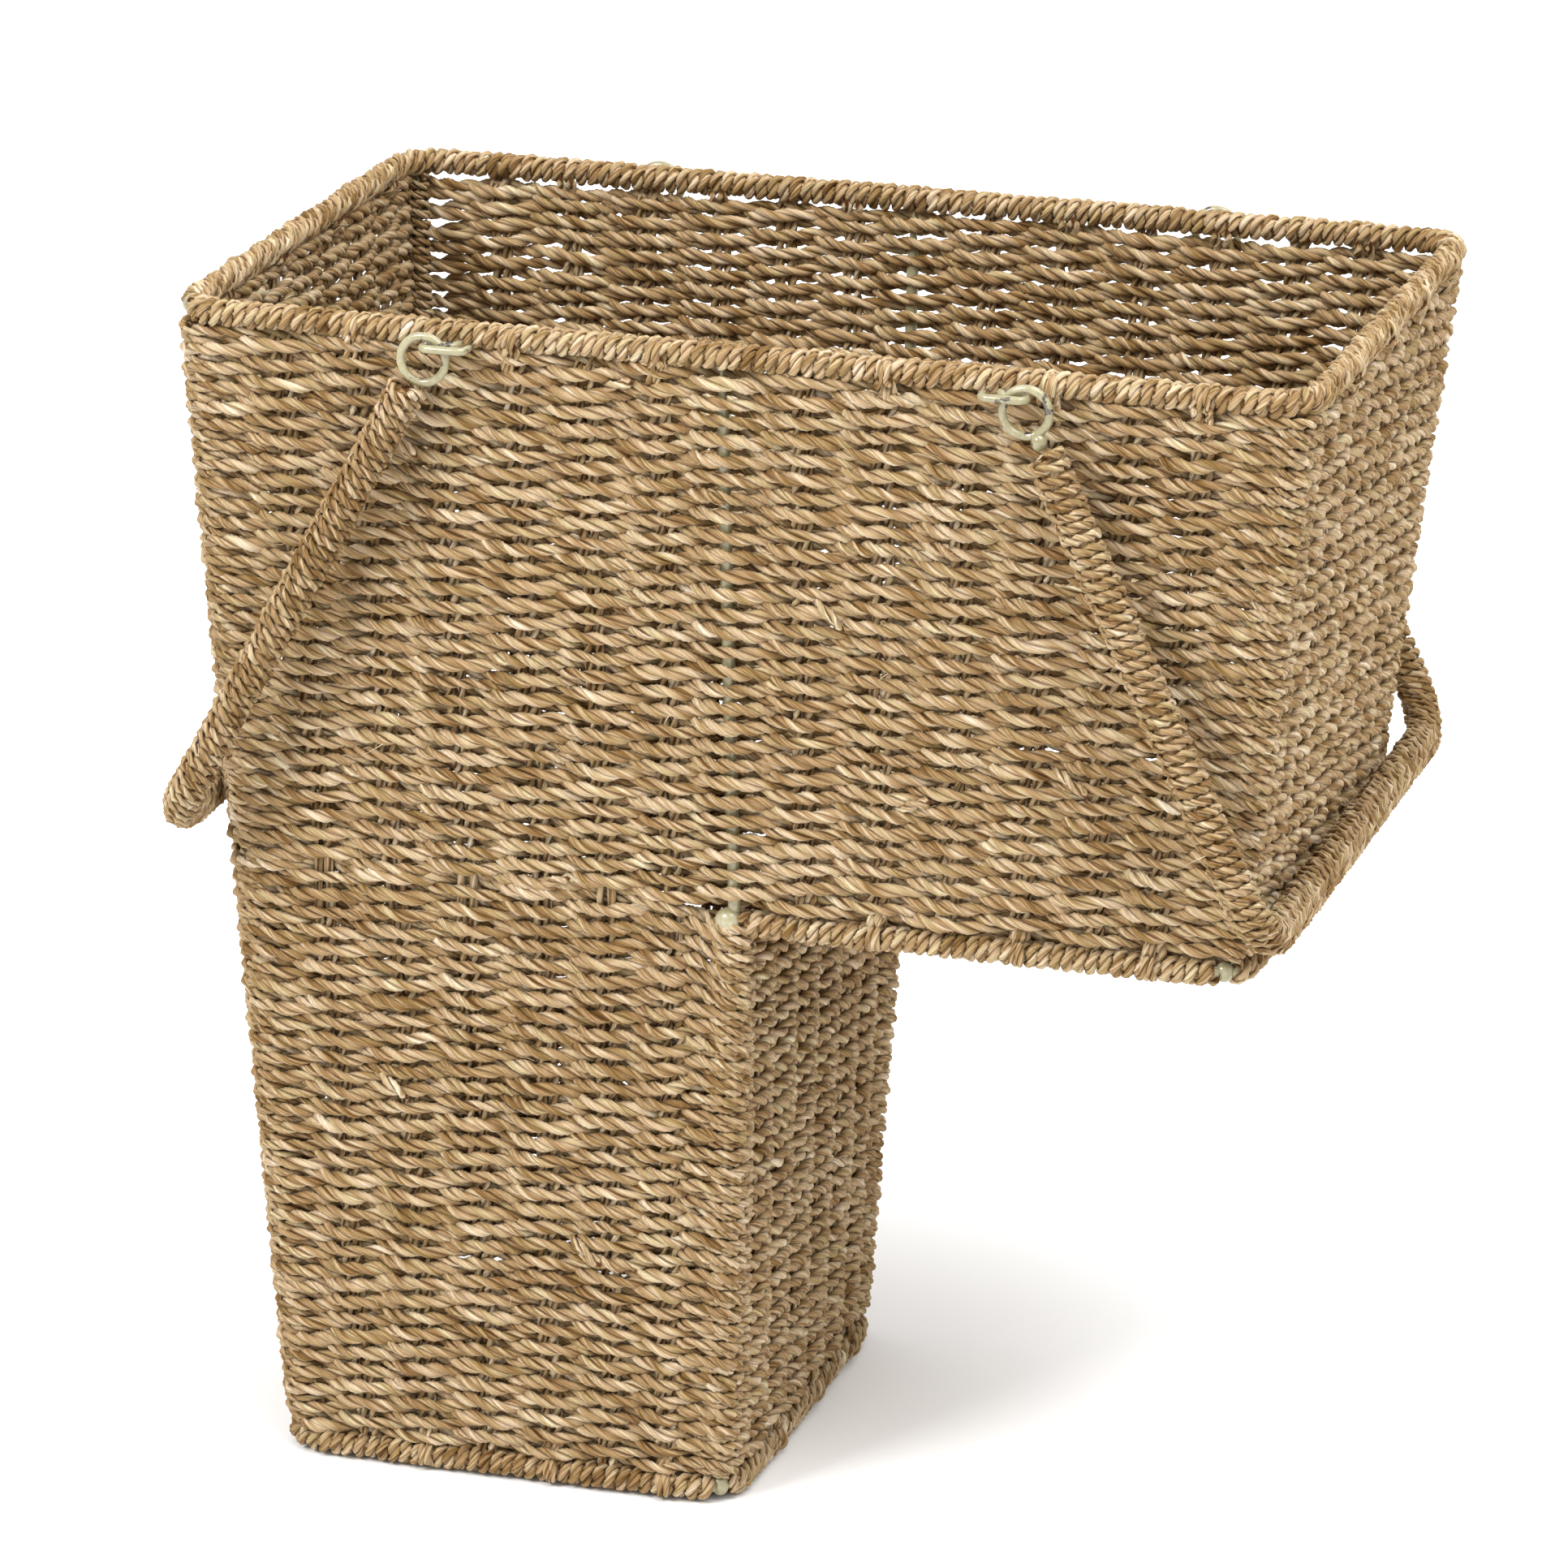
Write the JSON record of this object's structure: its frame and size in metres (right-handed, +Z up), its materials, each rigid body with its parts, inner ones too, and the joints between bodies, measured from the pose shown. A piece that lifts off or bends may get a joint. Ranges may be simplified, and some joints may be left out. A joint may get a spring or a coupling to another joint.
{
  "type": "stair basket",
  "caption": "Woven seagrass stair basket with a deep leg and a raised half, on a bound wire frame with two hanging bail handles.",
  "frame": {"origin": "on the floor, under the middle of the whole outline with the bails hanging", "axes": "+X along the length from the deep leg to the raised half, +Y across the width towards the back, +Z up"},
  "size_m": [0.3846, 0.261, 0.408],
  "materials": {
    "seagrass_weave": "dry twisted seagrass cord, satin along the fibres, with colour varying from straw to olive brown",
    "ring_binding": "two-ply seagrass cord wound round the frame rings, a little creamier than the walls",
    "bail_binding": "two-ply seagrass cord wound tightly round the bail, worn at the bends",
    "painted_wire": "pale sage-beige paint on steel wire, with grey chips at the rings"
  },
  "bodies": {
    "basket": {"rim_wire": "painted_wire", "base_wire": "painted_wire", "ledge_wire": "painted_wire", "notch_cross_wire": "painted_wire", "front_left_post": "painted_wire", "front_middle_post": "painted_wire", "front_right_post": "painted_wire", "back_left_post": "painted_wire", "back_middle_post": "painted_wire", "back_right_post": "painted_wire", "rim_binding_front": "ring_binding", "rim_binding_back": "ring_binding", "rim_binding_left": "ring_binding", "rim_binding_right": "ring_binding", "base_binding_front": "ring_binding", "base_binding_back": "ring_binding", "base_binding_left": "ring_binding", "base_binding_right": "ring_binding", "ledge_binding_front": "ring_binding", "ledge_binding_back": "ring_binding", "ledge_binding_right": "ring_binding", "front_weave_left": "seagrass_weave", "front_weave_right": "seagrass_weave", "back_weave_left": "seagrass_weave", "back_weave_right": "seagrass_weave", "left_end_weave": "seagrass_weave", "right_end_weave": "seagrass_weave", "leg_inner_weave": "seagrass_weave", "base_floor_weave": "seagrass_weave", "ledge_floor_weave": "seagrass_weave", "front_left_eye": "painted_wire", "back_left_eye": "painted_wire", "front_right_eye": "painted_wire", "back_right_eye": "painted_wire"},
    "left_bail": {"left_bail_wire": "painted_wire", "left_bail_binding_front": "bail_binding", "left_bail_binding_back": "bail_binding", "left_bail_grip": "bail_binding"},
    "right_bail": {"right_bail_wire": "painted_wire", "right_bail_binding_front": "bail_binding", "right_bail_binding_back": "bail_binding", "right_bail_grip": "bail_binding"}
  },
  "joints": [
    {"name": "left_bail_hinge", "type": "hinge", "parent": "basket", "child": "left_bail", "pos_m": [-0.09565, 0, 0.3999], "axis": [0, 1, 0], "range_deg": [0, 179]},
    {"name": "right_bail_hinge", "type": "hinge", "parent": "basket", "child": "right_bail", "pos_m": [0.09935, 0, 0.3999], "axis": [0, -1, 0], "range_deg": [0, 182]}
  ]
}
